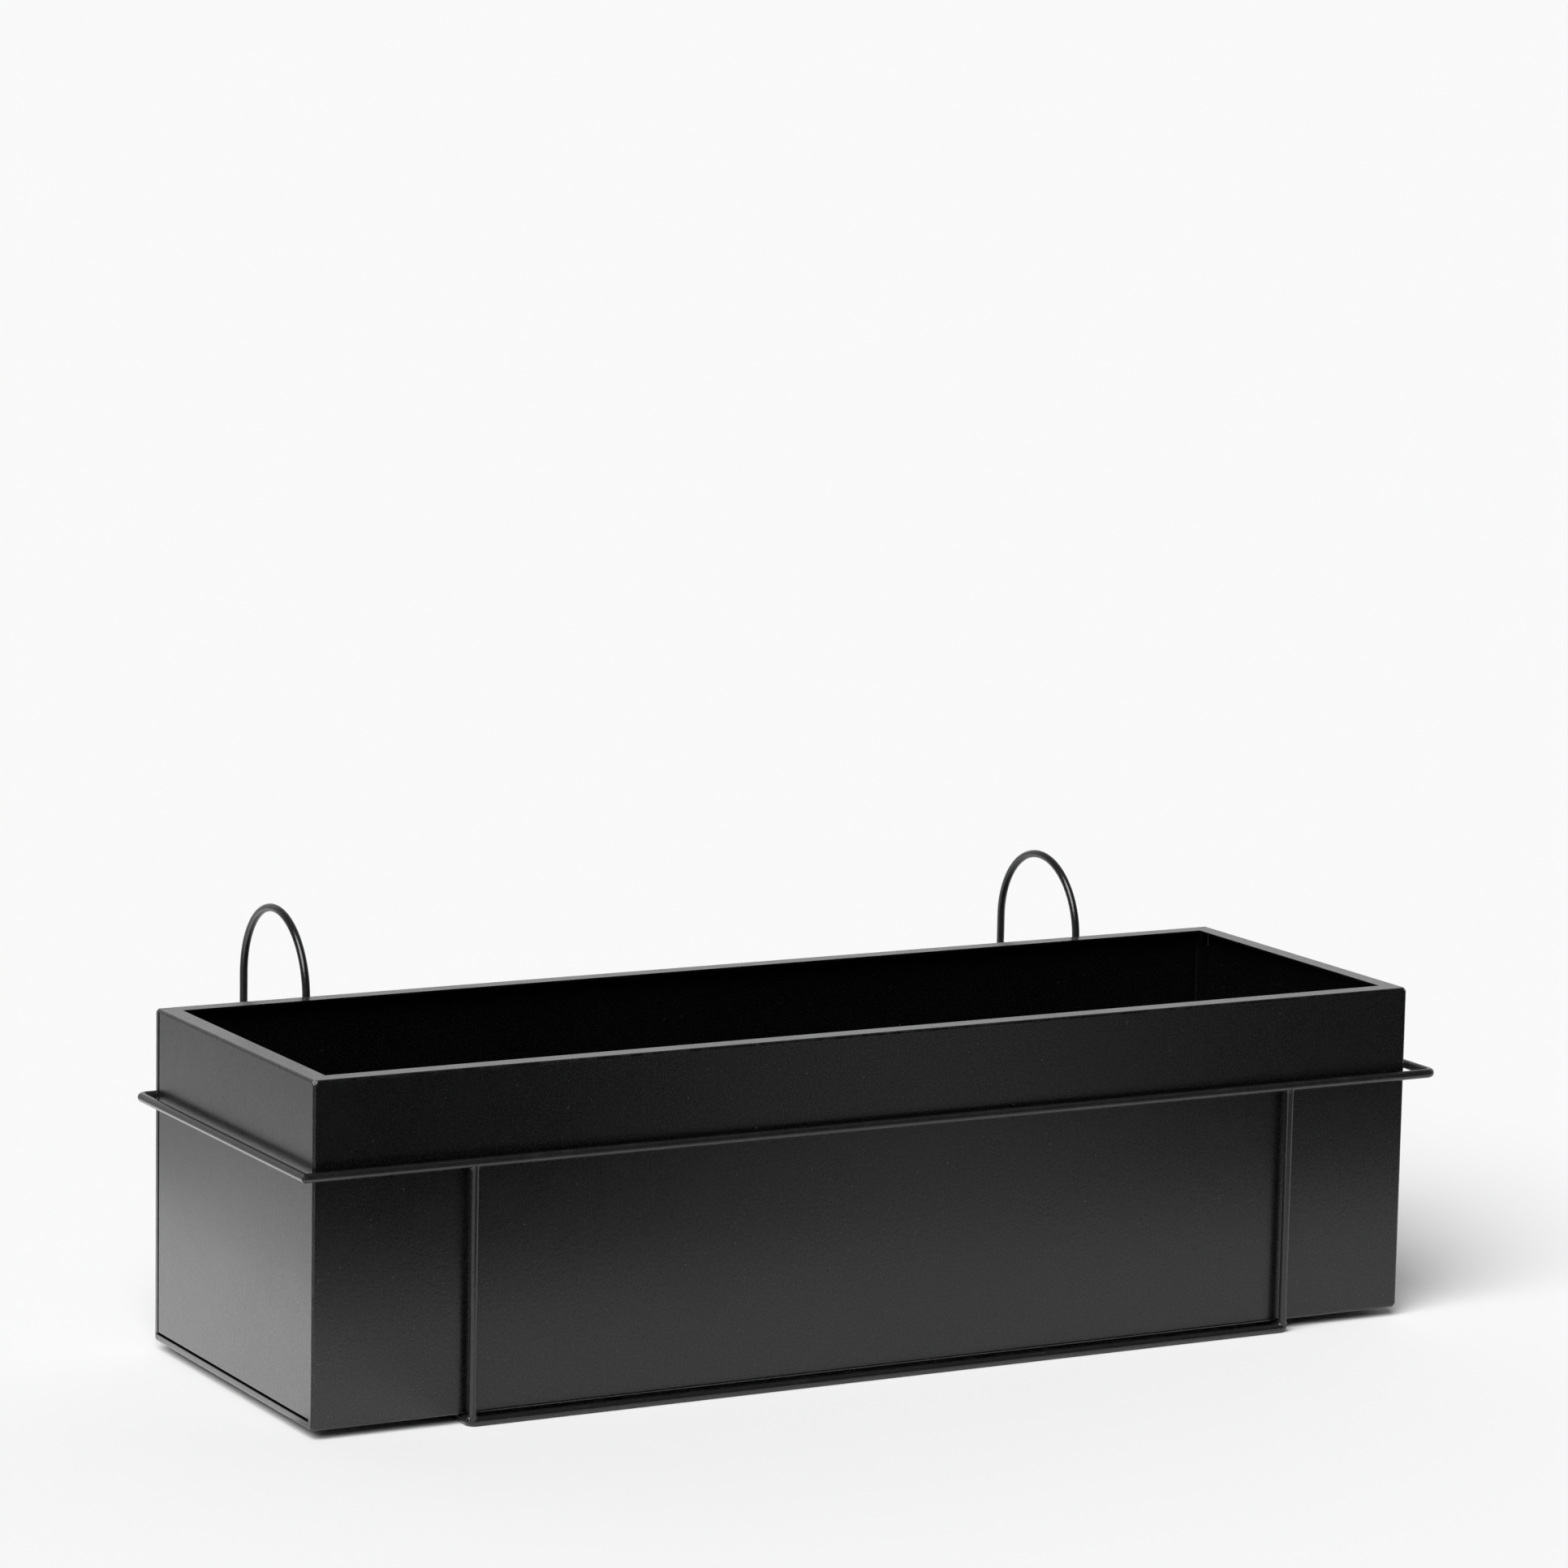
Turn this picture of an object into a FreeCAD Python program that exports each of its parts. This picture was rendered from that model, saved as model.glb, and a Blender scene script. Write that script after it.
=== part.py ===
"""Window box planter: a trough folded from sheet steel, loose in a welded wire holder with two railing hooks.

Millimetres. +Z is up, -Y is the front and +Y is the railing side. The origin is the middle of the
whole footprint, on the floor. One STEP file is written for each piece, named after the piece.
"""
import os
from math import cos, radians, sin, sqrt

import FreeCAD, Part
from FreeCAD import Vector

# Trough, outside sizes
box_length = 600.0
box_depth = 190.0
box_height = 165.0
sheet = 1.0  # thickness of the steel sheet
bend = 1.4  # outside radius of every fold
lip = 10.0  # width of the lip folded inwards round the mouth
rim = 3.75  # width of the narrow rim folded round each end of the long sheet
groove = 0.9  # open gap between that rim and the end panel
turn_in = 8.0  # depth of the flanges folded inwards along both sides of the groove
turn_in_top = 10.0  # the flanges stop this far below the top
edge_round = 0.4  # rounding of the rim's inner edge
panel_bend = 0.9  # outside radius of the end panel's folds at the groove
corner_facet = 2.8  # each welded corner is ground off this far along its three edges
relief_reach = 2.2  # saw cut across the foot of the rear rim, at the groove's corner
relief_width = 0.4
seam_bead = 1.5  # depth of the bead that closes the groove on the inside
lip_weld_radius = 0.9  # half-round bead under each mitre of the lip
lip_weld_ends = (2.4, 8.8)  # where that bead starts and stops, from the outside corner

# Holder, wire diameters and centrelines
ring_wire = 4.5
base_wire = 4.5
upright_wire = 4.0
hook_wire = 4.0
ring_half_length = 310.0
ring_above_box_floor = 121.0
box_gap = 2.5  # from the trough's front or back to the ring wire
ring_bend = 3.6  # centreline radius of the ring's folded corners
base_bend = 2.6
fold_steps = 4  # a fold is followed in this many short straight steps
base_half_length = 225.2
upright_half_spacing = 224.4
hook_half_spacing = 220.7
hook_radius = 39.0
hook_spring_above_box_floor = 161.8
hook_tail = 60.0  # straight end of the hook behind the railing
hook_foot = 0.4  # the hook wire starts this far above the floor
hook_steps = 24  # its half circle is followed in this many short straight steps
wire_end_chamfer = 0.6
mitre_facet = 2.4  # the ring's welded corner is ground flat this far from the corner's centre
weld_spread = 1.5  # how far a weld fillet spreads from the upright along the crossing wire
weld_rise = 1.8  # and how far it climbs up the upright
weld_wrap = 1.1  # and how far it reaches down round the crossing wire
weld_edge = 0.05  # and its thickness where it runs out
weld_depth = 3.2  # and its size from front to back
wire_sink = 0.3  # crossing wires sink this far into each other where they are welded
nugget = 2.2  # radius of the weld between two crossing wires
nugget_depth = 1.6
nugget_sides = 8

margin = 0.1  # for picking out edges and for cutting clean through a face

# How the two sit together
rest_gap = 0.3  # the paint's thickness between the trough and the wires that carry it
box_shift = -4.0  # the trough stands off the middle of the longer ring
overall_depth = box_depth + 2 * (box_gap + ring_wire + hook_radius) + hook_wire - wire_sink
ring_front_y = -overall_depth / 2 + ring_wire / 2
ring_back_y = ring_front_y + box_depth + 2 * box_gap + ring_wire
box_front_y = ring_front_y + ring_wire / 2 + box_gap
box_floor_z = base_wire + rest_gap
ring_z = box_floor_z + ring_above_box_floor
base_z = base_wire / 2
hook_y = ring_back_y + (ring_wire + hook_wire) / 2 - wire_sink
hook_spring_z = box_floor_z + hook_spring_above_box_floor
box_corner = Vector(box_shift - box_length / 2, box_front_y, box_floor_z)


def block(x, y, z):
    """A box between the two limits given for each axis."""
    return Part.makeBox(x[1] - x[0], y[1] - y[0], z[1] - z[0], Vector(x[0], y[0], z[0]))


def prism(outline, z):
    """An upright prism on a plan outline, between two heights."""
    corners = [Vector(px, py, z[0]) for px, py in outline]
    face = Part.Face(Part.makePolygon(corners + corners[:1]))
    return face.extrude(Vector(0, 0, z[1] - z[0]))


def edges_between(shape, low, high):
    """The edges of a shape that lie wholly inside a box."""
    space = FreeCAD.BoundBox(low, high)
    return [edge for edge in shape.Edges if space.isInside(edge.BoundBox)]


def other_end(shape):
    """The same piece for the right end of the trough."""
    return shape.mirror(Vector(box_length / 2, 0, 0), Vector(1, 0, 0))


def in_place(shape):
    """The trough's pieces are drawn from its front, bottom, left corner; this stands one in the holder."""
    moved = shape.copy()
    moved.translate(box_corner)
    return moved


def folded_box():
    """The whole sheet-metal skin: rounded folds, a lip round the mouth and eight ground corners."""
    outside = block((0, box_length), (0, box_depth), (0, box_height))
    outside = outside.makeFillet(bend, outside.Edges)
    middle = Vector(box_length / 2, box_depth / 2, box_height / 2)
    for side_x in (-1, 1):
        for side_y in (-1, 1):
            for side_z in (-1, 1):
                corner = middle + Vector(side_x * middle.x, side_y * middle.y, side_z * middle.z)
                outside = outside.cut(corner_wedge(corner, side_x, side_y, side_z))
    inside = block((sheet, box_length - sheet), (sheet, box_depth - sheet), (sheet, box_height - sheet))
    long_edges = [edge for edge in inside.Edges if edge.BoundBox.XLength > box_length / 2]
    inside = inside.makeFillet(bend - sheet, long_edges)
    mouth = block((lip, box_length - lip), (lip, box_depth - lip), (box_height / 2, box_height + 1))
    return outside.cut(inside).cut(mouth)


def corner_wedge(corner, side_x, side_y, side_z):
    """The small three-sided pyramid that grinding takes off a corner."""
    tips = [
        corner - Vector(side_x * corner_facet, 0, 0),
        corner - Vector(0, side_y * corner_facet, 0),
        corner - Vector(0, 0, side_z * corner_facet),
    ]
    faces = [Part.Face(Part.makePolygon(tips + tips[:1]))]
    for first, second in ((0, 1), (1, 2), (2, 0)):
        faces.append(Part.Face(Part.makePolygon([corner, tips[first], tips[second], corner])))
    return Part.makeSolid(Part.makeShell(faces))


def end_lip_zone():
    """The part of the mouth that belongs to the left end, between its two mitres."""
    over = lip + 1
    outline = [(-1, -1), (over, over), (over, box_depth - over), (-1, box_depth + 1)]
    return prism(outline, (box_height - bend, box_height + 1))


def end_window():
    """The opening that the rim leaves in the left end."""
    return block((-1, sheet), (rim, box_depth - rim), (rim, box_height - bend))


def rim_flange():
    """The rim's second fold, running inwards round three sides of the end panel."""
    top = box_height - turn_in_top
    outer = block((sheet, turn_in), (rim - sheet, box_depth - rim + sheet), (rim - sheet, top))
    inner = block((0, turn_in + 1), (rim, box_depth - rim), (rim, top + 1))
    return outer.cut(inner)


def trough_sheet(skin):
    """Front, bottom and back folded from one sheet, with two lips and a narrow rim round each end."""
    trough = skin
    for zone in (end_lip_zone(), end_window()):
        trough = trough.cut(zone).cut(other_end(zone))
    trough = trough.fuse([rim_flange(), other_end(rim_flange())]).removeSplitter()
    slot_y = (box_depth - rim - margin, box_depth - rim + relief_reach)
    slot = block((-margin, sheet), slot_y, (rim, rim + relief_width))
    trough = trough.cut(slot).cut(other_end(slot))
    for x in (0, box_length):
        low = Vector(x - margin, rim - margin, rim - margin)
        high = Vector(x + margin, box_depth - rim + margin, box_height - bend + margin)
        inner_edges = [
            edge
            for edge in edges_between(trough, low, high)
            if edge.Length > turn_in and edge.BoundBox.YMax > 2 * rim
        ]
        trough = trough.makeFillet(edge_round, inner_edges)
    return trough


def left_end_panel(skin):
    """A shallow pan: end wall, its own length of lip, and flanges folded in at the rear and the bottom."""
    back = box_depth - rim - groove
    bottom = rim + groove
    top = box_height - turn_in_top
    wall = skin.common(block((-1, sheet), (rim, back), (bottom, box_height - bend)))
    own_lip = skin.common(end_lip_zone())
    rear_flange = block((0, turn_in), (back - sheet, back), (bottom, top))
    bottom_flange = block((0, turn_in), (rim, back), (bottom, bottom + sheet))
    panel = wall.fuse([own_lip, rear_flange, bottom_flange]).removeSplitter()
    low = Vector(-margin, rim - margin, bottom - margin)
    high = Vector(margin, back + margin, box_height - bend + margin)
    folds = [
        edge
        for edge in edges_between(panel, low, high)
        if edge.BoundBox.YMin > back - margin or edge.BoundBox.ZMax < bottom + margin
    ]
    return panel.makeFillet(panel_bend, folds)


def left_end_seam():
    """Bead along the inner end of the groove, which joins the two flanges and keeps the soil in."""
    deep = (turn_in - seam_bead, turn_in)
    top = box_height - turn_in_top
    along_back = block(deep, (box_depth - rim - groove, box_depth - rim), (rim, top))
    along_bottom = block(deep, (rim, box_depth - rim), (rim, rim + groove))
    return along_back.fuse(along_bottom).removeSplitter()


def front_left_lip_weld():
    """A half-round bead under the mitre between the front lip and the left one."""
    start, stop = lip_weld_ends
    under = box_height - sheet
    length = (stop - start) * sqrt(2)
    bead = Part.makeCylinder(lip_weld_radius, length, Vector(start, start, under), Vector(1, 1, 0))
    return bead.common(block((0, 2 * lip), (0, 2 * lip), (under - lip, under)))


def wire_through(stations, diameter):
    """A round wire through a list of stations, each a point of its centreline and the direction there."""
    sections = [Part.Wire(Part.makeCircle(diameter / 2, point, direction)) for point, direction in stations]
    return Part.makeLoft(sections, True, True)


def folded_wire(points, radius, diameter):
    """A round wire along a path with a tight square fold at each of its corners."""
    first_run = (points[1] - points[0]).normalize()
    stations = [(points[0], first_run)]
    for before, corner, after in zip(points, points[1:], points[2:]):
        towards = (corner - before).normalize()
        onwards = (after - corner).normalize()
        centre = corner + (onwards - towards) * radius
        for step in range(fold_steps + 1):
            turn = radians(90 * step / fold_steps)
            outwards = towards * sin(turn) - onwards * cos(turn)
            stations.append((centre + outwards * radius, towards * cos(turn) + onwards * sin(turn)))
    last_run = (points[-1] - points[-2]).normalize()
    stations.append((points[-1], last_run))
    return wire_through(stations, diameter)


def ring():
    """The upper wire: three folded corners, and a mitred, welded and ground one at the front left."""
    left, right = -ring_half_length, ring_half_length
    front, back = ring_front_y, ring_back_y
    spare = 2 * ring_wire
    corner = Vector(left, front, ring_z)
    front_run = Part.makeCylinder(ring_wire / 2, spare - left, corner - Vector(spare, 0, 0), Vector(1, 0, 0))
    folded_run = folded_wire(
        [
            Vector(0, front, ring_z),
            Vector(right, front, ring_z),
            Vector(right, back, ring_z),
            Vector(left, back, ring_z),
            Vector(left, front - spare, ring_z),
        ],
        ring_bend,
        ring_wire,
    )
    far = 3 * spare
    height = (ring_z - ring_wire, ring_z + ring_wire)
    outside, inside = (left - far, front - far), (left + far, front + far)
    left_of_mitre = prism([outside, inside, (left - far, front + far)], height)
    right_of_mitre = prism([outside, (left + far, front - far), inside], height)
    wire = front_run.cut(left_of_mitre).fuse(folded_run.cut(right_of_mitre)).removeSplitter()
    reach = mitre_facet * sqrt(2)
    ground_off = [(left - far, front + far - reach), (left + far - reach, front - far), outside]
    return wire.cut(prism(ground_off, height))


def base():
    """The lower wire, a closed rectangle on the floor that carries the trough on its two short sides."""
    front, back = ring_front_y, ring_back_y
    halves = []
    for side in (-base_half_length, base_half_length):
        points = [Vector(0, front), Vector(side, front), Vector(side, back), Vector(0, back)]
        raised = [point + Vector(0, 0, base_z) for point in points]
        halves.append(folded_wire(raised, base_bend, base_wire))
    return halves[0].fuse(halves[1]).removeSplitter()


def upright(x, ring_shape, base_shape):
    """A front upright, its two ends shaped to the wires that it is welded between."""
    rod = Part.makeCylinder(upright_wire / 2, ring_z - base_z, Vector(x, ring_front_y, base_z))
    return rod.cut(ring_shape).cut(base_shape)


def upright_weld(x, z, direction, upright_shape, wire_shape):
    """Two weld fillets at one end of an upright, one on each side of it along the crossing wire."""
    root = z + direction * (ring_wire / 2 - weld_wrap)
    tip = z + direction * (ring_wire / 2 + weld_rise)
    wide = upright_wire / 2 + weld_spread
    narrow = upright_wire / 2 + weld_edge
    near = ring_front_y - weld_depth / 2
    outline = [(x - wide, root), (x + wide, root), (x + narrow, tip), (x - narrow, tip), (x - wide, root)]
    face = Part.Face(Part.makePolygon([Vector(px, near, pz) for px, pz in outline]))
    return face.extrude(Vector(0, weld_depth, 0)).cut(upright_shape).cut(wire_shape)


def hook(x, ring_shape, base_shape):
    """One hook wire: up behind the holder, over the railing in a half circle and down again."""
    stations = [(Vector(x, hook_y, hook_foot), Vector(0, 0, 1))]
    for step in range(hook_steps + 1):
        turn = radians(180 * step / hook_steps)
        y = hook_y + hook_radius * (1 - cos(turn))
        z = hook_spring_z + hook_radius * sin(turn)
        stations.append((Vector(x, y, z), Vector(0, sin(turn), cos(turn))))
    tip = Vector(x, hook_y + 2 * hook_radius, hook_spring_z - hook_tail)
    stations.append((tip, Vector(0, 0, -1)))
    wire = wire_through(stations, hook_wire)
    flat = [edge for edge in wire.Edges if edge.BoundBox.ZLength < margin]
    ends = [edge for edge in flat if edge.BoundBox.ZMax < tip.z + margin]
    return wire.makeChamfer(wire_end_chamfer, ends).cut(ring_shape).cut(base_shape)


def hook_weld(x, z, hook_shape, wire_shape):
    """The weld nugget where a hook wire crosses the ring or the base: a many-sided pad between the two."""
    near = ring_back_y + (ring_wire - wire_sink - nugget_depth) / 2
    turns = [radians(360 * (step + 0.5) / nugget_sides) for step in range(nugget_sides + 1)]
    outline = [Vector(x + nugget * cos(turn), near, z + nugget * sin(turn)) for turn in turns]
    pad = Part.Face(Part.makePolygon(outline)).extrude(Vector(0, nugget_depth, 0))
    return pad.cut(hook_shape).cut(wire_shape)


def save(name, shape):
    """Write one piece: a closed solid, or two where a weld has a fillet on either side."""
    solids = shape.Solids
    piece = solids[0] if len(solids) == 1 else Part.makeCompound(solids)
    piece.exportStep(f"parts/{name}.step")
    print(f"{name}: {len(solids)} solid, {piece.Volume:.0f} mm3, valid {piece.isValid()}")


def save_trough():
    """The folded trough: its ends and lip welds are drawn once and mirrored."""
    skin = folded_box()
    save("trough_sheet", in_place(trough_sheet(skin)))
    front_weld = front_left_lip_weld()
    rear_weld = front_weld.mirror(Vector(0, box_depth / 2, 0), Vector(0, 1, 0))
    left_pieces = {
        "{}_end_panel": left_end_panel(skin),
        "{}_end_seam": left_end_seam(),
        "front_{}_lip_weld": front_weld,
        "rear_{}_lip_weld": rear_weld,
    }
    for name, piece in left_pieces.items():
        save(name.format("left"), in_place(piece))
        save(name.format("right"), in_place(other_end(piece)))


def save_holder():
    """The wire holder: ring, base, two uprights, two hooks and the eight welds between them."""
    ring_shape = ring()
    base_shape = base()
    save("ring_wire", ring_shape)
    save("base_wire", base_shape)
    for name, side in (("left", -1), ("right", 1)):
        x = side * upright_half_spacing
        rod = upright(x, ring_shape, base_shape)
        save(f"{name}_upright", rod)
        save(f"{name}_upright_top_weld", upright_weld(x, ring_z, -1, rod, ring_shape))
        save(f"{name}_upright_foot_weld", upright_weld(x, base_z, 1, rod, base_shape))
        x = side * hook_half_spacing
        rod = hook(x, ring_shape, base_shape)
        save(f"{name}_hook", rod)
        save(f"{name}_hook_ring_weld", hook_weld(x, ring_z, rod, ring_shape))
        save(f"{name}_hook_base_weld", hook_weld(x, base_z, rod, base_shape))


os.makedirs("parts", exist_ok=True)
save_trough()
save_holder()
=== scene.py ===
# Window box planter of folded sheet steel, standing loose in a welded wire holder with two railing
# hooks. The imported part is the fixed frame: metres, +Z up, -Y the front, +Y the railing side.
# The folded sheet keeps its own shape and gets its coat; wires and welds are drawn as new surfaces.
from math import cos, radians, sin, sqrt

import bpy
import numpy as np
from mathutils import Matrix, Vector


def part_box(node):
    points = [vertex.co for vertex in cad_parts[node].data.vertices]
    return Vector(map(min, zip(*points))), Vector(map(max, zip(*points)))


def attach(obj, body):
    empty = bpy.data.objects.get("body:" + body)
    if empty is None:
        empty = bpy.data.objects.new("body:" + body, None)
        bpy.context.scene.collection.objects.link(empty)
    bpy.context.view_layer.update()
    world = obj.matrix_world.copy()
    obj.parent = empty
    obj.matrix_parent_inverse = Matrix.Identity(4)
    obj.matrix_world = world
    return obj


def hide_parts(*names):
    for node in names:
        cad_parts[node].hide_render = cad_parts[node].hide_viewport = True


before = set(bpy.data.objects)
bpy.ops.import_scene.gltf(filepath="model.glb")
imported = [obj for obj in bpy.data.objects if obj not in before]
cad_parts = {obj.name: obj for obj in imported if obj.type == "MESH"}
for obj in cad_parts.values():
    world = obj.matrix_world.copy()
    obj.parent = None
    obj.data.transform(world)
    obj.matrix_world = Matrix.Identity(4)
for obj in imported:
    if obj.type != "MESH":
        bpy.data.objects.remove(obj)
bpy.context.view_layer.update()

# Trough: 1 mm sheet steel. Front, bottom and back are one folded sheet, each end is a shallow pan
# let in behind a narrow rim, and the mouth has a 10 mm lip mitred at its corners. Everything is
# powder coated satin black after welding; on the folded edges the coat is glossier and lighter in
# patches, partly as thin coat and partly as a painted highlight.
SHEET_BLACK = (0.0004, 0.0004, 0.0005, 1)
# The lighter black for the folds: thin coat there, and a painted highlight on the folds.
SHEET_THIN_AND_HIGHLIGHT_BLACK = (0.012, 0.012, 0.013, 1)
SHEET_ROUGHNESS = 0.28
SPECKLE_GREY = (0.3, 0.3, 0.3, 1)
DUST_GREY = (0.22, 0.22, 0.22, 1)
COAT_IOR = 1.54
# What shows in the coat: its sizes and heights in metres, the noise it takes, and its strength.
CLOUD_SIZE, STREAK_SIZE, WEAR_AND_HIGHLIGHT_SIZE = 0.07, 0.012, 0.006
PEEL_SIZE, SPECKLE_SIZE, GRAIN_SIZE = 0.0017, 0.0009, 0.0004
PEEL_HEIGHT, GRAIN_HEIGHT, DUST_HEIGHT = 0.000055, 0.000012, 0.00004
DUST_CELLS_PER_METRE, DUST_RADIUS, DUSTY_CELLS = 190.0, (0.03, 0.06), (0.7, 0.72)
WEAR_AND_HIGHLIGHT_PATCHES, CLOUD_RANGE = (0.35, 0.62), (0.2, 0.9)
SPECKLE_RANGE, SPECKLE_PEAKS = (0.3, 0.7), (0.48, 0.75)
CLOUD_LIFT, SPECKLE_SHARE, DUST_SHARE = 1.5, 0.026, 0.45
CLOUD_MATT, STREAK_MATT, GRAIN_MATT = 0.06, 0.04, 0.1
THIN_GLOSS, CLEAR_GLOSS = 0.07, 0.2


class Shade:
    """A shader value. Sums, differences, products and absolute values of it add Math nodes."""

    def __init__(self, tree, socket):
        self.tree, self.socket = tree, socket

    def node(self, kind, settings, sockets, output=0):
        """Adds a node: its settings are set first, then the values or links of its sockets."""
        made = self.tree.nodes.new(kind)
        for name, value in settings.items():
            setattr(made, name, value)
        for name, value in sockets.items():
            if isinstance(value, Shade):
                self.tree.links.new(value.socket, made.inputs[name])
            else:
                made.inputs[name].default_value = value
        return Shade(self.tree, made.outputs[output])

    def math(self, operation, first, second=0.0):
        return self.node("ShaderNodeMath", {"operation": operation}, {0: first, 1: second})

    def __add__(self, other):
        return self.math("ADD", self, other)

    def __mul__(self, other):
        return self.math("MULTIPLY", self, other)

    def __sub__(self, other):
        return self.math("SUBTRACT", self, other)

    def __rsub__(self, other):
        return self.math("SUBTRACT", other, self)

    def __abs__(self):
        return self.math("ABSOLUTE", self)

    __radd__, __rmul__ = __add__, __mul__

    def smaller(self, other):
        return self.math("MINIMUM", self, other)

    def larger(self, other):
        return self.math("MAXIMUM", self, other)

    def above(self, start, end):
        """0 below start, 1 above end, and a smooth rise between them."""
        limits = {"From Min": start, "From Max": end, "Value": self}
        return self.node("ShaderNodeMapRange", {"interpolation_type": "SMOOTHSTEP"}, limits)

    def axes(self):
        """The X, Y and Z parts of this place or direction."""
        split = self.node("ShaderNodeSeparateXYZ", {}, {0: self}).socket.node
        return [Shade(self.tree, split.outputs[name]) for name in "XYZ"]

    def noise(self, size, detail=2.0):
        """Cloudy noise from 0 to 1 on this place, with blobs about size metres across."""
        sockets = {"Vector": self, "Scale": 1 / size, "Detail": detail}
        return self.node("ShaderNodeTexNoise", {}, sockets)

    def blend(self, first, second):
        """The first colour where this value is 0 and the second where it is 1."""
        sockets = {0: self, 6: first, 7: second}
        return self.node("ShaderNodeMix", {"data_type": "RGBA"}, sockets, 2)


def new_material(name):
    """A new material: itself, its shader node and the place on the piece, in metres."""
    material = bpy.data.materials.new(name)
    material.use_nodes = True
    tree = material.node_tree
    shader = tree.nodes["Principled BSDF"]
    place = Shade(tree, tree.nodes.new("ShaderNodeTexCoord").outputs["Object"])
    return material, shader, place


def powder_coat(shader, place, black, edge_black, roughness, edges, dents, peel=1.0):
    """Satin powder coat. Edges are 1 where it may run thin and where a highlight is painted; both
    show in patches.

    The colour is the black, the edge black where the coat is thin and where a highlight is painted,
    up to 1.5 times the black in clouds as large as a hand, and a touch of grey in fine speckle and
    in a few specks of dust.
    Roughness is the given one plus small shares of clouds, streaks and grain, less where the
    coat is thin, and a faint clear gloss comes and goes with the speckle. The height is that of
    the dents under the coat plus orange peel, grain and dust.
    """
    clouds = place.noise(CLOUD_SIZE, 3.0)
    streaks = place.noise(STREAK_SIZE)
    grain = place.noise(GRAIN_SIZE, 1.0)
    speckle = place.noise(SPECKLE_SIZE, 1.0)
    thin_and_highlight = edges * place.noise(WEAR_AND_HIGHLIGHT_SIZE, 3.0).above(*WEAR_AND_HIGHLIGHT_PATCHES)

    cells = {"Vector": place, "Scale": DUST_CELLS_PER_METRE}
    from_middle = place.node("ShaderNodeTexVoronoi", {}, cells)
    cell_colour = place.node("ShaderNodeTexVoronoi", {}, cells, 1)
    lot = place.node("ShaderNodeSeparateColor", {}, {"Color": cell_colour})
    dust = (1 - from_middle.above(*DUST_RADIUS)) * lot.above(*DUSTY_CELLS)

    lifted = tuple(CLOUD_LIFT * part for part in black[:3]) + (1,)
    shade = (clouds + 0.6 * streaks + 0.5 * grain) * 0.5
    # The edge black shows where the coat is thin and as the painted highlight on folds and the
    # ring's tip.
    colour = shade.above(*CLOUD_RANGE).blend(thin_and_highlight.blend(black, edge_black), lifted)
    colour = (speckle.above(*SPECKLE_PEAKS) * SPECKLE_SHARE).blend(colour, SPECKLE_GREY)
    colour = (dust * DUST_SHARE).blend(colour, DUST_GREY)

    rough = roughness + (clouds - 0.5) * CLOUD_MATT + (streaks - 0.5) * STREAK_MATT
    rough = rough + (grain - 0.5) * GRAIN_MATT - thin_and_highlight * THIN_GLOSS
    relief = place.noise(PEEL_SIZE) * PEEL_HEIGHT + grain * GRAIN_HEIGHT
    height = dents + peel * relief + dust * DUST_HEIGHT
    sockets = {
        "Base Color": colour,
        "Roughness": rough,
        "Coat Weight": speckle.above(*SPECKLE_RANGE) * CLEAR_GLOSS,
        "Normal": place.node("ShaderNodeBump", {}, {"Distance": 1.0, "Height": height}),
    }
    for name, value in sockets.items():
        place.tree.links.new(value.socket, shader.inputs[name])
    shader.inputs["IOR"].default_value = COAT_IOR
    shader.inputs["Coat Roughness"].default_value = roughness


sheet_low = Vector(map(min, *[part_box(node)[0] for node in ("trough_sheet", "left_end_panel")]))
sheet_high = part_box("trough_sheet")[1]
sheet_middle = (sheet_low + sheet_high) / 2
sheet_half = (sheet_high - sheet_low) / 2

LIP_TOP = (sheet_high.z - 0.0016, sheet_high.z - 0.0012)
LIP_WIDTH = (0.010, 0.0104)
FOLD_WEAR_AND_HIGHLIGHT = (0.0006, 0.0022)
MITRE_LINE, MITRE_DEPTH = (0.0001, 0.00028), 0.0002
OIL_CANNING_SIZE, OIL_CANNING_HEIGHT = 0.13, 0.00014


def sheet_material():
    """Coat of the trough, lighter along its folds as thin coat and as a painted highlight, with the
    faint dents of thin sheet under it.

    Near a fold two of the three depths below the outer faces are small, so the middle one of the
    three tells how near it is. The mitre is a fine line on the lip where the depths from the end
    and from the front or back are equal.
    """
    material, shader, place = new_material("satin_black_sheet")
    axes = place.axes()
    deep_x, deep_y, deep_z = (
        half - abs(part - middle) for part, middle, half in zip(axes, sheet_middle, sheet_half)
    )
    least = deep_x.smaller(deep_y).smaller(deep_z)
    most = deep_x.larger(deep_y).larger(deep_z)
    # Lighter edge black along the folds, in patches: partly thin coat, partly a painted highlight
    # on the folds.
    edges = 1 - (deep_x + deep_y + deep_z - least - most).above(*FOLD_WEAR_AND_HIGHLIGHT)
    on_lip = axes[2].above(*LIP_TOP) * (1 - deep_x.above(*LIP_WIDTH))
    mitre = on_lip * (1 - abs(deep_x - deep_y).above(*MITRE_LINE))
    dents = place.noise(OIL_CANNING_SIZE, 1.0) * OIL_CANNING_HEIGHT - mitre * MITRE_DEPTH
    powder_coat(shader, place, SHEET_BLACK, SHEET_THIN_AND_HIGHLIGHT_BLACK, SHEET_ROUGHNESS, edges, dents)
    return material


sheet_coat = sheet_material()
for name in ("trough_sheet", "left_end_panel", "right_end_panel"):
    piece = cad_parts[name]
    piece.data.materials.clear()
    piece.data.materials.append(sheet_coat)

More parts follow.
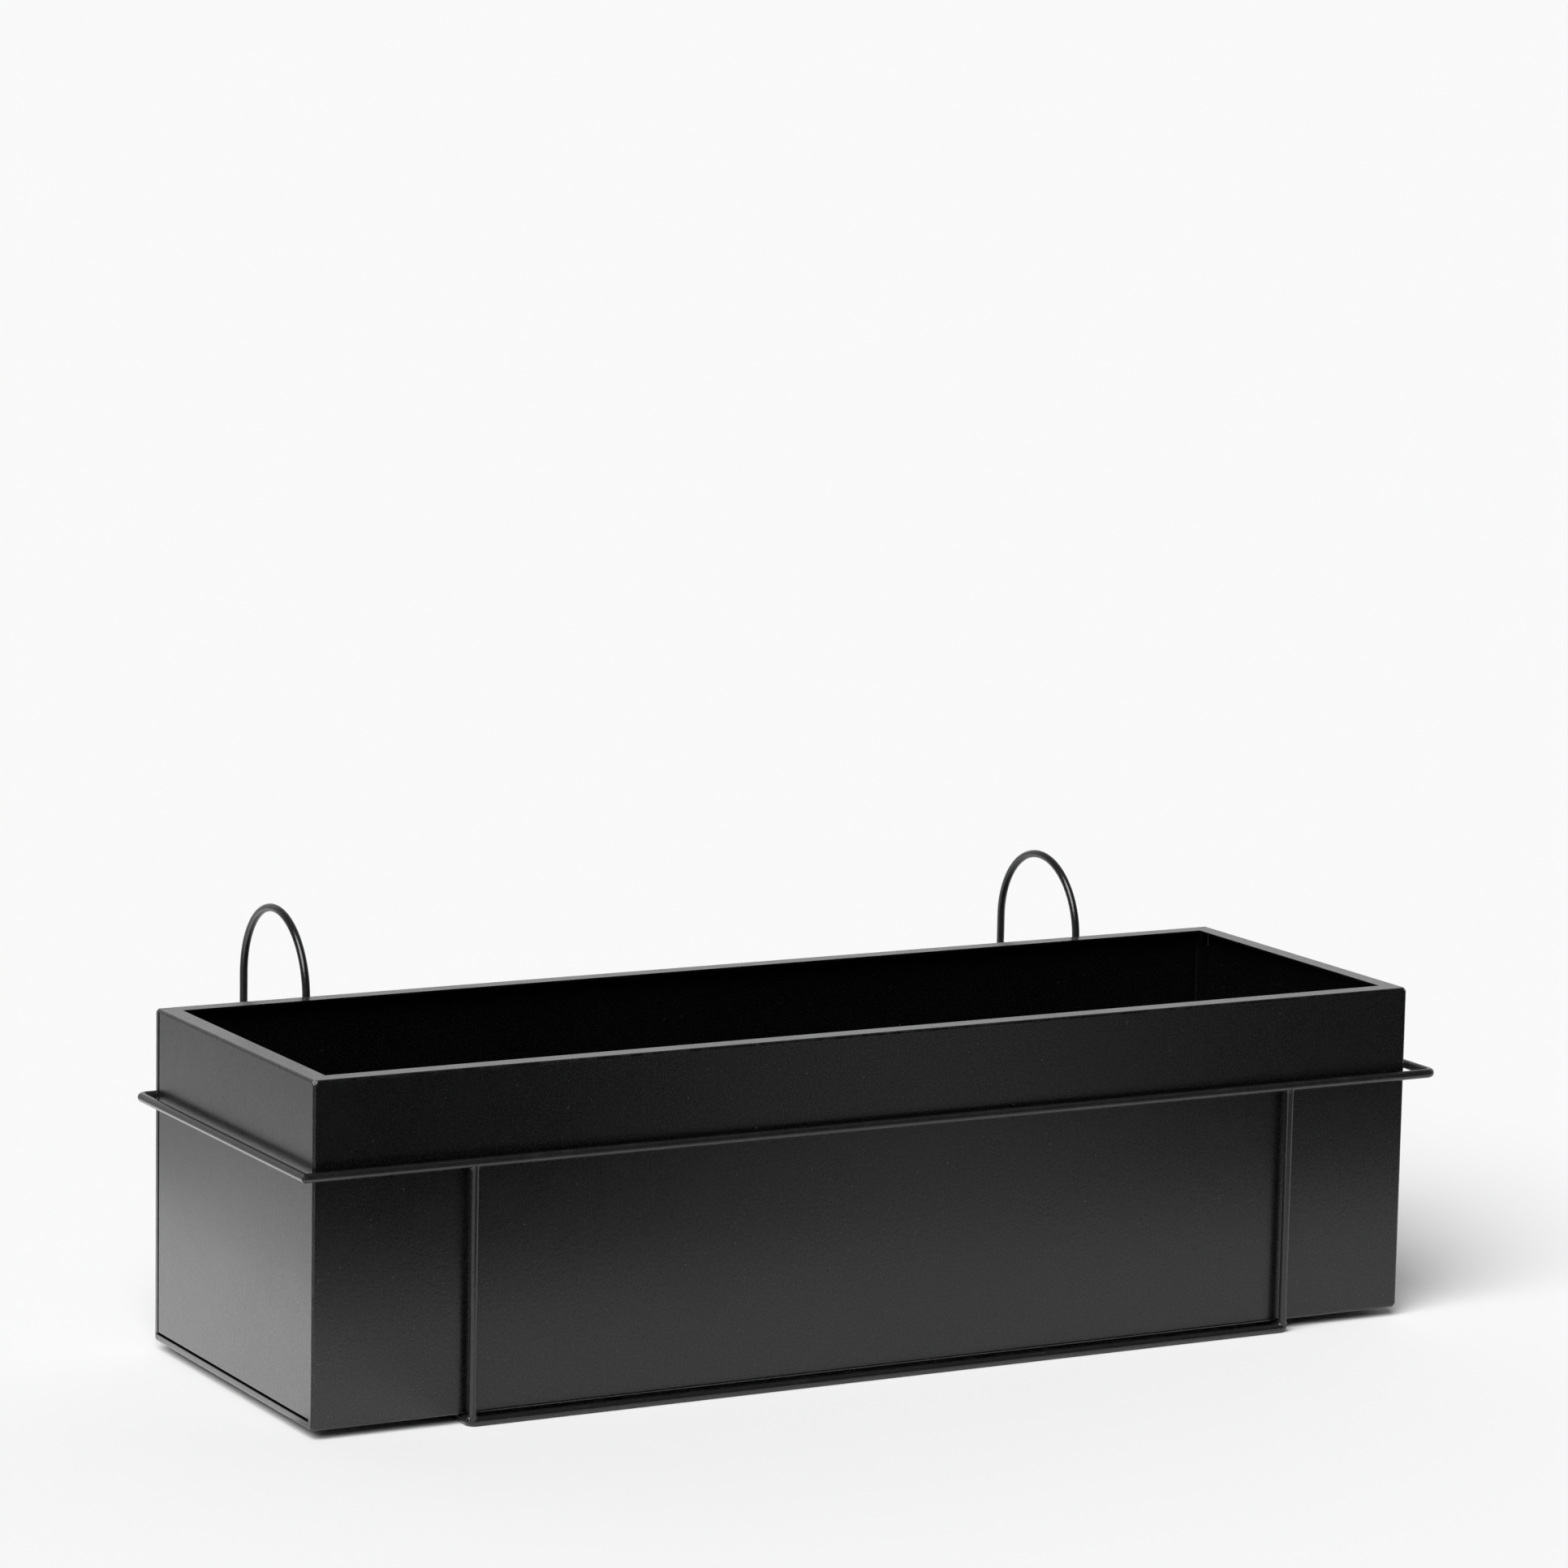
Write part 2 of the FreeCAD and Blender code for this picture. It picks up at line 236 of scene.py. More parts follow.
# End seams: a bead of weld run along the bottom of the groove behind each rim, up the back and
# along the foot. It joins the rim's flange to the end panel's and is coated with them.
MM = 0.001
GROOVE = 0.9
SEAM_FILL, SEAM_RIPPLE = 0.9, 1.6
SEAM_STEP, SEAM_SET_BACK, SEAM_TURN = 0.2, 0.3, 0.6
BEAD_SWELL, BEAD_TIP, BEAD_AROUND = 0.1, 0.02, 16
SHARP_ANGLE = radians(38)
WELD_BLACK = (0.010, 0.010, 0.0105, 1)
WELD_EDGE_BLACK = (0.021, 0.021, 0.0225, 1)
WELD_ROUGHNESS, WELD_PEEL = 0.26, 1.4
WELD_LUMP_SIZE, WELD_LUMP_HEIGHT, WELD_LUMP_TOPS = 0.0011, 0.00012, (0.52, 0.75)


def box_in_mm(node):
    """The lowest and the highest corner of a CAD piece, in millimetres."""
    return (np.array(corner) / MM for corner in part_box(node))


def wrapped(low, high, count):
    """Quads between two rows of points whose ends meet, as indices."""
    onwards = np.roll(np.arange(count), -1)
    return np.stack([low, low[..., onwards], high[..., onwards], high], axis=-1).reshape(-1, 4)


def skin(name, grid, closed, material, body, replaced):
    """A closed skin on a grid of points in millimetres: each row runs once round the piece.

    Rows join the next ones, and a closed grid's last row joins its first. Otherwise a pole in the
    middle of the first and of the last row closes the ends. Its faces are turned outwards, where
    the signed volume, a sixth of the sum of the corners' triple products, is above zero.
    """
    rows, around = grid.shape[:2]
    index = np.arange(rows * around).reshape(rows, around)
    points = grid.reshape(-1, 3)
    if closed:
        faces = wrapped(index, np.roll(index, -1, axis=0), around)
        caps = np.zeros((0, 3), int)
    else:
        faces = wrapped(index[:-1], index[1:], around)
        points = np.vstack([points, grid[0].mean(0), grid[-1].mean(0)])
        first, last, onwards = rows * around, rows * around + 1, np.roll(index, -1, axis=1)
        starts = np.stack([np.full(around, first), onwards[0], index[0]], axis=-1)
        stops = np.stack([np.full(around, last), index[-1], onwards[-1]], axis=-1)
        caps = np.vstack([starts, stops])
    triangles = np.vstack([faces[:, [0, 1, 2]], faces[:, [0, 2, 3]], caps])
    a, b, c = (points[triangles[:, corner]] for corner in range(3))
    if np.einsum("ij,ij->i", a, np.cross(b, c)).sum() < 0:
        faces, caps = faces[:, ::-1], caps[:, ::-1]
    mesh = bpy.data.meshes.new(name)
    mesh.from_pydata((points * MM).tolist(), [], faces.tolist() + caps.tolist())
    mesh.polygons.foreach_set("use_smooth", np.ones(len(mesh.polygons), bool))
    mesh.set_sharp_from_angle(angle=SHARP_ANGLE)
    mesh.materials.append(material)
    piece = bpy.data.objects.new(name, mesh)
    bpy.context.scene.collection.objects.link(piece)
    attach(piece, body)
    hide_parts(*replaced)


def weld_material():
    """Coat over weld metal: it keeps the weld's small lumps and is thin on top of them."""
    material, shader, place = new_material("satin_black_weld")
    lumps = place.noise(WELD_LUMP_SIZE)
    edges, dents = lumps.above(*WELD_LUMP_TOPS), lumps * WELD_LUMP_HEIGHT
    coat = WELD_BLACK, WELD_EDGE_BLACK, WELD_ROUGHNESS
    powder_coat(shader, place, *coat, edges, dents, WELD_PEEL)
    return material


def bead(stations, across, up, half_width, half_depth, ripple):
    """A weld bead: an ellipse carried along a line, its size swelling and sinking as ripples.

    The size is 1 plus a tenth of a sine of the length run, and it falls to nothing over the last
    millimetre at both ends as the root of one minus a square, so the bead ends round.
    """
    run = np.concatenate([[0], np.cumsum(np.linalg.norm(np.diff(stations, axis=0), axis=1))])
    size = 1 + BEAD_SWELL * np.sin(2 * np.pi * run / ripple)
    from_end = np.clip(np.minimum(run, run[-1] - run), BEAD_TIP, 1)
    size = (size * np.sqrt(1 - (1 - from_end) ** 2))[:, None, None]
    turn = np.linspace(0, 2 * np.pi, BEAD_AROUND, endpoint=False)[None, :, None]
    reach = size * half_width * np.cos(turn) * across[:, None]
    rise = size * half_depth * np.sin(turn) * up[:, None]
    return stations[:, None] + reach + rise


def end_seam(low, high):
    """The bead in a groove: along the foot to the back corner and then straight up the back.

    Its up vector is straight up along the foot, leans forward to half a right angle over the
    last 0.6 mm before the corner, and points forward all the way up the back.
    """
    x, half_width = (low[0] + high[0]) / 2, (high[0] - low[0]) / 2
    back, foot = high[1] - GROOVE / 2, low[2] + GROOVE / 2
    along = np.arange(low[1] + SEAM_SET_BACK, back, SEAM_STEP)
    upward = np.arange(foot, high[2] - SEAM_SET_BACK, SEAM_STEP)
    y = np.concatenate([along, np.full_like(upward, back)])
    z = np.concatenate([np.full_like(along, foot), upward])
    stations = np.stack([np.full_like(y, x), y, z], axis=-1)
    near_corner = np.clip((y - back + SEAM_TURN) / SEAM_TURN, 0, 1)
    lean = np.where(z > foot, 1.0, 0.5 * near_corner) * np.pi / 2
    up = np.stack([0 * lean, -np.sin(lean), np.cos(lean)], axis=-1)
    across = np.tile([1.0, 0, 0], (len(stations), 1))
    half_width, half_depth = half_width * SEAM_FILL, GROOVE / 2 * SEAM_FILL
    return bead(stations, across, up, half_width, half_depth, SEAM_RIPPLE)


weld_coat = weld_material()
for side in ("left", "right"):
    node = f"{side}_end_seam"
    grid = end_seam(*box_in_mm(node))
    skin(f"{side}_groove_bead", grid, False, weld_coat, "planter", [node])

# Lip welds: a short bead under each mitre of the lip, from the outside corner to the inside one.
# It holds the end panel's lip to the long sheet's, and shows only from inside the trough.
LIP_BEAD_RADIUS, LIP_BEAD_FLATNESS, LIP_BEAD_RIPPLE = 0.9, 0.9, 1.3
LIP_BEAD_SET_BACK, LIP_BEAD_SUNK, LIP_BEAD_STATIONS = 0.3, 0.05, 60


def lip_bead(low, high, lengthways, inwards):
    """A straight bead along the box's diagonal in plan, cut off level with the box's top."""
    middle = (low + high) / 2
    middle[2] = high[2] - LIP_BEAD_SUNK
    half_run = (high[0] - low[0]) / 2 - LIP_BEAD_SET_BACK
    step = np.linspace(-half_run, half_run, LIP_BEAD_STATIONS)
    stations = middle + step[:, None] * np.array([lengthways, inwards, 0])
    across = np.tile(np.array([lengthways, -inwards, 0]) / sqrt(2), (len(step), 1))
    up = np.tile([0.0, 0, 1], (len(step), 1))
    half_depth = LIP_BEAD_RADIUS * LIP_BEAD_FLATNESS
    grid = bead(stations, across, up, LIP_BEAD_RADIUS, half_depth, LIP_BEAD_RIPPLE)
    grid[..., 2] = np.minimum(grid[..., 2], high[2])
    return grid


for end_name, lengthways in (("left", 1), ("right", -1)):
    for face_name, inwards in (("front", 1), ("rear", -1)):
        node = f"{face_name}_{end_name}_lip_weld"
        bead_name = f"{face_name}_{end_name}_mitre_bead"
        grid = lip_bead(*box_in_mm(node), lengthways, inwards)
        skin(bead_name, grid, False, weld_coat, "planter", [node])

# Ring wire: one 4.5 mm steel wire folded round the trough at three corners. Its two ends are cut
# to a mitre at the front left corner, welded, and the corner's tip is ground flat.
WIRE_BLACK = (0.007, 0.007, 0.0074, 1)
# The lighter black for thin coat in patches and for the painted highlight on the ring's tip.
WIRE_THIN_AND_HIGHLIGHT_BLACK = (0.02, 0.02, 0.021, 1)
WIRE_ROUGHNESS, WIRE_PEEL = 0.23, 0.6
WIRE_PATCH_SIZE, WIRE_PATCHES = 0.02, (0.55, 0.75)
GRIP_SIZE, GRIP_HEIGHT = 0.028, 0.00012
# Where the painted highlight on the ring's ground tip sits, how far it reaches and how strong it
# is.
TIP_INSET, TIP_RAISED = 0.55, 0.4
TIP_HIGHLIGHT_REACH, TIP_HIGHLIGHT_STRENGTH = (0.0008, 0.0022), 2.0
RING_RADIUS, RING_BEND = 2.25, 3.6
MITRE_FACET, MITRE_SHEAR, MITRE_STEPS = 2.4, 6.0, 16
FOLD_STEPS, WIRE_AROUND = 14, 40

ring_low, ring_high = box_in_mm("ring_wire")
ring_z = (ring_low[2] + ring_high[2]) / 2


def wire_material():
    """Coat on drawn wire: thin in patches, with faint dips where the wire was gripped.

    On the ring's ground tip, within 2 mm of a point just inside its corner, it carries a painted
    highlight: the lighter edge black and a glossier coat.
    """
    material, shader, place = new_material("satin_black_wire")
    tip = [ring_low[0] + TIP_INSET, ring_low[1] + TIP_INSET, ring_z + TIP_RAISED]
    points = {0: place, 1: tuple(np.array(tip) * MM)}
    from_tip = place.node("ShaderNodeVectorMath", {"operation": "DISTANCE"}, points, 1)
    patches = place.noise(WIRE_PATCH_SIZE).above(*WIRE_PATCHES)
    # The patches are thin coat; the tip's mask is a painted highlight on the ring's corner tip.
    edges = patches.larger((1 - from_tip.above(*TIP_HIGHLIGHT_REACH)) * TIP_HIGHLIGHT_STRENGTH)
    dents = place.noise(GRIP_SIZE, 1.0) * GRIP_HEIGHT
    coat = WIRE_BLACK, WIRE_THIN_AND_HIGHLIGHT_BLACK, WIRE_ROUGHNESS
    powder_coat(shader, place, *coat, edges, dents, WIRE_PEEL)
    return material


def centreline(low, high, radius):
    """Left, front, right and back of a wire's centreline, a wire radius inside its box."""
    return low[0] + radius, low[1] + radius, high[0] - radius, high[1] - radius


def fold(corner, towards, onwards, bend):
    """A square fold of a wire: a quarter circle that touches both runs, and its outward sides.

    Its centre is the corner plus the bend times (onwards minus towards). At turn t the outward
    side is towards times sin t minus onwards times cos t, and the wire lies a bend out along it.
    """
    turn = np.linspace(0, np.pi / 2, FOLD_STEPS)[:, None]
    corner, towards, onwards = (np.array(value, float) for value in (corner, towards, onwards))
    outwards = towards * np.sin(turn) - onwards * np.cos(turn)
    return corner + (onwards - towards) * bend + outwards * bend, outwards


def folds_round(left, front, right, back, level, bend):
    """The four folds of a level wire rectangle, anticlockwise from the front left corner."""
    return [
        fold((left, front, level), (0, -1, 0), (1, 0, 0), bend),
        fold((right, front, level), (1, 0, 0), (0, 1, 0), bend),
        fold((right, back, level), (0, 1, 0), (-1, 0, 0), bend),
        fold((left, back, level), (-1, 0, 0), (0, -1, 0), bend),
    ]


def tube(stations, sides, ups, radii, around):
    """A wire: at turn t each station is joined by its radius times (side cos t plus up sin t)."""
    turn = np.linspace(0, 2 * np.pi, around, endpoint=False)[None, :, None]
    spread = np.cos(turn) * sides[:, None] + np.sin(turn) * ups[:, None]
    return stations[:, None] + np.asarray(radii)[:, None, None] * spread


def level_wire(parts, radius):
    """A wire that lies level: its parts are stations with outward sides, and up is up."""
    stations, sides = (np.vstack(column) for column in zip(*parts))
    ups = np.tile([0.0, 0, 1], (len(stations), 1))
    return tube(stations, sides, ups, np.full(len(stations), radius), WIRE_AROUND)


def ring_wire(low, high):
    """Three folds and a mitred corner, joined by straight runs.

    At the mitre the side is (-1, -1), which shears the circle into the mitre's plane; over six
    millimetres of either run the shear fades. Points past the facet's plane are moved onto it.
    """
    left, front, right, back = centreline(low, high, RING_RADIUS)
    run = np.linspace(0, MITRE_SHEAR, MITRE_STEPS)[1:]
    shear = 1 - run / MITRE_SHEAR
    nothing, one = np.zeros_like(run), np.ones_like(run)
    tip = np.array([[left, front, ring_z]]), np.array([[-1.0, -1, 0]])
    start = np.stack([left + run, one * front, one * ring_z], axis=-1)
    start_sides = np.stack([-shear, -one, nothing], axis=-1)
    stop = np.stack([one * left, front + run, one * ring_z], axis=-1)[::-1]
    stop_sides = np.stack([-one, -shear, nothing], axis=-1)[::-1]
    folds = folds_round(left, front, right, back, ring_z, RING_BEND)[1:]
    grid = level_wire([tip, (start, start_sides), *folds, (stop, stop_sides)], RING_RADIUS)
    past = (left + front) - grid[..., 0] - grid[..., 1] - MITRE_FACET * sqrt(2)
    grid[..., :2] += np.maximum(past, 0)[..., None] / 2
    return grid


wire_coat = wire_material()
grid = ring_wire(ring_low, ring_high)
skin("ring_round_wire", grid, True, wire_coat, "holder", ["ring_wire"])

# Base wire: the same wire folded to a closed rectangle with sharper corners. It lies on the floor
# and carries the trough on its two short sides.
BASE_RADIUS, BASE_BEND, BASE_OFF_FLOOR = 2.25, 2.6, 0.01

base_low, base_high = box_in_mm("base_wire")
base_z = base_high[2] - BASE_RADIUS
base_left, base_front, base_right, base_back = centreline(base_low, base_high, BASE_RADIUS)
folds = folds_round(base_left, base_front, base_right, base_back, base_z, BASE_BEND)
grid = level_wire(folds, BASE_RADIUS - BASE_OFF_FLOOR)
skin("base_round_wire", grid, True, wire_coat, "holder", ["base_wire"])

# Uprights: two 4 mm rods in front of the trough, welded between the base and the ring. Their ends
# go a little way into both wires.
UPRIGHT_RADIUS = 2.0
ROD_STATIONS, ROD_AROUND = 12, 36


def upright_rod(x):
    """A straight rod from the middle of the base wire up to the middle of the ring."""
    one = np.ones(ROD_STATIONS)
    heights = np.linspace(base_z, ring_z, ROD_STATIONS)
    stations = np.stack([one * x, one * base_front, heights], axis=-1)
    sides = np.tile([1.0, 0, 0], (ROD_STATIONS, 1))
    ups = np.tile([0.0, 1, 0], (ROD_STATIONS, 1))
    return tube(stations, sides, ups, one * UPRIGHT_RADIUS, ROD_AROUND)


upright_x = {}
for side in ("left", "right"):
    node = f"{side}_upright"
    low, high = box_in_mm(node)
    upright_x[side] = (low[0] + high[0]) / 2
    grid = upright_rod(upright_x[side])
    skin(f"{side}_upright_rod", grid, False, wire_coat, "holder", [node])

# Upright welds: a collar of weld metal at both ends of each rod. It climbs the rod, runs out
# along the crossing wire and drapes over its front, a little lumpy as a hand-laid weld is.
WELD_SPREAD, WELD_RISE = 1.5, 1.8
WELD_PROUD, WELD_FLARE, WELD_SUNK = 0.04, 0.12, 0.05
BROAD_LUMPS, SMALL_LUMPS = 0.16, 0.08
COLLAR_AROUND, COLLAR_ROWS = 48, 11


def upright_weld(x, level, direction, seed):
    """A collar on a round grid: turn runs about the rod and climb from the crossing wire upwards.

    Its reach past the rod is the spread times (1 - climb) squared times cosine squared of the
    turn, and its height is the crossing wire's surface plus the rise times climb squared. Both
    swell by small sines of the turn.
    """
    turn = np.linspace(0, 2 * np.pi, COLLAR_AROUND, endpoint=False)[None, :]
    climb = np.linspace(0, 1, COLLAR_ROWS)[:, None]
    lumps = 1 + BROAD_LUMPS * np.sin(3 * turn + seed)
    lumps = lumps + SMALL_LUMPS * np.sin(7 * turn + 2.3 * seed)
    reach = WELD_SPREAD * np.cos(turn) ** 2 * (1 - climb) ** 2 * lumps
    px = (UPRIGHT_RADIUS + WELD_PROUD + reach) * np.cos(turn)
    py = (UPRIGHT_RADIUS + WELD_PROUD + WELD_FLARE * (1 - climb)) * np.sin(turn)
    surface = np.sqrt(np.maximum(RING_RADIUS**2 - py**2, 0))
    rise = surface - WELD_SUNK + WELD_RISE * climb**2 * lumps
    place = [x + px, base_front + py, level + direction * rise]
    return np.stack(np.broadcast_arrays(*place), axis=-1)


for number, side in enumerate(("left", "right")):
    for level, direction, end_name in ((ring_z, -1, "top"), (base_z, 1, "foot")):
        grid = upright_weld(upright_x[side], level, direction, 1.7 * number + 0.6 * direction)
        node = f"{side}_upright_{end_name}_weld"
        collar_name = f"{side}_upright_{end_name}_collar"
        skin(collar_name, grid, False, weld_coat, "holder", [node])

# Hooks: two 4 mm wires that stand behind the holder, bend over the railing in a half circle and
# run straight down behind it. Both ends are cut square and filed.
HOOK_RADIUS, HOOK_BEND, HOOK_TAIL = 2.0, 39.0, 60.0
HOOK_FILED, HOOK_SHOULDER, HOOK_STEPS = 0.6, 0.2, 73


def hook(low, high):
    """Up the front leg, round the half circle and down the tail, in one plane across the box.

    The half circle's centre lies a bend and a wire radius below the box's top, and the side
    vector turns from -Y over +Z to +Y along it. Filed ends narrow over their last 0.6 mm.
    """
    x = (low[0] + high[0]) / 2
    near, far = high[1] - HOOK_RADIUS - 2 * HOOK_BEND, high[1] - HOOK_RADIUS
    spring = high[2] - HOOK_RADIUS - HOOK_BEND
    foot, tip = low[2], spring - HOOK_TAIL
    filed = np.array([0, HOOK_FILED / 2, HOOK_FILED])
    up_leg = np.append(foot + filed, (foot + spring) / 2)
    tail = np.append(tip + filed, (spring + tip) / 2)[::-1]
    turn = np.linspace(0, np.pi, HOOK_STEPS)
    bend_y = (near + far) / 2 - HOOK_BEND * np.cos(turn)
    y = np.concatenate([np.full_like(up_leg, near), bend_y, np.full_like(tail, far)])
    z = np.concatenate([up_leg, spring + HOOK_BEND * np.sin(turn), tail])
    angle = np.concatenate([np.zeros_like(up_leg), turn, np.full_like(tail, np.pi)])
    stations = np.stack([np.full_like(y, x), y, z], axis=-1)
    sides = np.stack([0 * angle, -np.cos(angle), np.sin(angle)], axis=-1)
    radii = np.full(len(angle), HOOK_RADIUS)
    radii[[0, -1]] -= HOOK_FILED
    radii[[1, -2]] -= HOOK_SHOULDER
    return tube(stations, sides, np.tile([1.0, 0, 0], (len(angle), 1)), radii, ROD_AROUND)


hook_x = {}
for side in ("left", "right"):
    node = f"{side}_hook"
    low, high = box_in_mm(node)
    hook_x[side], hook_y = (low[0] + high[0]) / 2, high[1] - HOOK_RADIUS - 2 * HOOK_BEND
    skin(f"{side}_hook_rod", hook(low, high), False, wire_coat, "holder", [node])

# Hook welds: a nugget of weld metal where each hook wire crosses the ring and the base. It fills
# the wedge between the two round wires.
NUGGET_RADIUS, NUGGET_HALF_DEPTH = 2.5, 1.15
NUGGET_CORNERS, NUGGET_ROUNDING = 0.1, 0.7
NUGGET_POLE, NUGGET_OFF_FLOOR = 0.06, 0.05
NUGGET_AROUND, NUGGET_ROWS = 40, 17


def nugget(x, level, seed):
    """A pillow between two crossing wires: polar runs from its rear pole to its front one.

    Its radius is the sine of polar to the power 0.7, larger towards the four corners between
    the wires by a cosine of four times the turn, with lumps from two small sines. Its depth is
    the cosine of polar. It is cut off just above the floor.
    """
    polar = np.linspace(NUGGET_POLE, np.pi - NUGGET_POLE, NUGGET_ROWS)[:, None]
    turn = np.linspace(0, 2 * np.pi, NUGGET_AROUND, endpoint=False)[None, :]
    corners = 1 - NUGGET_CORNERS * np.cos(4 * turn)
    lumps = corners + 0.05 * np.sin(3 * turn + seed) + 0.04 * np.sin(5 * turn - seed)
    radius = NUGGET_RADIUS * np.sin(polar) ** NUGGET_ROUNDING * lumps
    between = (base_back + RING_RADIUS + hook_y - HOOK_RADIUS) / 2
    y = between + NUGGET_HALF_DEPTH * np.cos(polar)
    z = np.maximum(level + radius * np.sin(turn), NUGGET_OFF_FLOOR)
    return np.stack(np.broadcast_arrays(x + radius * np.cos(turn), y, z), axis=-1)


for number, side in enumerate(("left", "right")):
    for level, wire in ((ring_z, "ring"), (base_z, "base")):
        grid = nugget(hook_x[side], level, 2.1 * number + level)
        node = f"{side}_hook_{wire}_weld"
        skin(f"{side}_hook_{wire}_nugget", grid, False, weld_coat, "holder", [node])

# Studio: a plain pale floor that runs on to the horizon, a wide soft lamp high on the left, and a
# room that is bright behind the planter and dark in front of it. Two cards and two low lamps lie
# on the floor, hidden from the camera, and only shape what the satin coat mirrors.
FLOOR_WHITE, FLOOR_REACH = (0.93, 0.93, 0.93, 1), 40.0
DULL_ROUGHNESS = 0.9
CARD_REACH, CARD_LIFT = 6.0, 0.002
DARK_CARD_LEFT, DARK_CARD_BACK = -0.40, -0.39
CARD_BLACK, CARD_MIDDLE_GREY = (0, 0, 0, 1), (0.42, 0.42, 0.42, 1)
CARD_SLANT, CARD_RISE, CARD_FALL, CARD_FADE = 0.54, (-0.32, -0.04), (-0.03, 0.22), 0.9
GREY_CARD_RIGHT, CARD_SIDE_GREY = -0.66, (0.3, 0.3, 0.3, 1)
ROOM_DARK, ROOM_BRIGHT, ROOM_RISE = 0.01, 0.92, (-0.1, 1.1)
ROOM_BACK, ROOM_RIGHT, ROOM_TOP = 0.8, 0.45, 0.3
CEILING_DIM, CEILING_RISE = 0.7, (0.25, 0.75)
SOFT_LAMP_ENERGY, SOFT_LAMP_SPREAD = 3.84, radians(50)
SOFT_LAMP_FROM = Vector((-0.75, -0.65, 1.0))
LOW_LAMP_LIFT = 0.001


def flat_sheet(name, low, high, lift, colour):
    """A level four-cornered sheet for the studio, of one plain dull colour."""
    corners = [(low[0], low[1]), (high[0], low[1]), (high[0], high[1]), (low[0], high[1])]
    mesh = bpy.data.meshes.new(name)
    mesh.from_pydata([(x, y, lift) for x, y in corners], [], [(0, 1, 2, 3)])
    material, shader, _ = new_material(name)
    shader.inputs["Base Color"].default_value = colour
    shader.inputs["Roughness"].default_value = DULL_ROUGHNESS
    shader.inputs["Specular IOR Level"].default_value = 0.0
    mesh.materials.append(material)
    placed = bpy.data.objects.new(name, mesh)
    bpy.context.scene.collection.objects.link(placed)
    return placed


def gloss_card(name, low, high, colour):
    """A card just above the floor that shows in the gloss of the coat and nowhere else."""
    card = flat_sheet(name, low, high, CARD_LIFT, colour)
    card.visible_camera = card.visible_diffuse = card.visible_shadow = False
    return card


floor_corner = (FLOOR_REACH, FLOOR_REACH)
flat_sheet("studio_floor", (-FLOOR_REACH, -FLOOR_REACH), floor_corner, 0.0, FLOOR_WHITE)

# The dark card in front rises to a middle grey half way along the planter and falls off again.
low, high = (DARK_CARD_LEFT, -CARD_REACH), (CARD_REACH, DARK_CARD_BACK)
tree = gloss_card("black_card", low, high, CARD_BLACK).active_material.node_tree
x, y, _ = Shade(tree, tree.nodes.new("ShaderNodeTexCoord").outputs["Object"]).axes()
along = x + CARD_SLANT * y
grey = along.above(*CARD_RISE) * (1 - CARD_FADE * along.above(*CARD_FALL))
colour = grey.blend(CARD_BLACK, CARD_MIDDLE_GREY)
tree.links.new(colour.socket, tree.nodes["Principled BSDF"].inputs["Base Color"])

low, high = (-CARD_REACH, -CARD_REACH), (GREY_CARD_RIGHT, CARD_REACH)
gloss_card("grey_card", low, high, CARD_SIDE_GREY)

# The room brightens towards the back, the right and, a little, the top, and dims again above.
world = bpy.data.worlds.new("studio_room")
bpy.context.scene.world = world
world.use_nodes = True
tree = world.node_tree
direction = Shade(tree, tree.nodes.new("ShaderNodeTexCoord").outputs["Generated"])
rightwards, backwards, upwards = direction.axes()
facing = backwards * ROOM_BACK + rightwards * ROOM_RIGHT + upwards * ROOM_TOP
ceiling = CEILING_DIM * upwards.above(*CEILING_RISE)
room = ROOM_DARK + ROOM_BRIGHT * facing.above(*ROOM_RISE) * (1 - ceiling)
tree.links.new(room.socket, tree.nodes["Background"].inputs["Strength"])
tree.nodes["Background"].inputs["Color"].default_value = (1, 1, 1, 1)

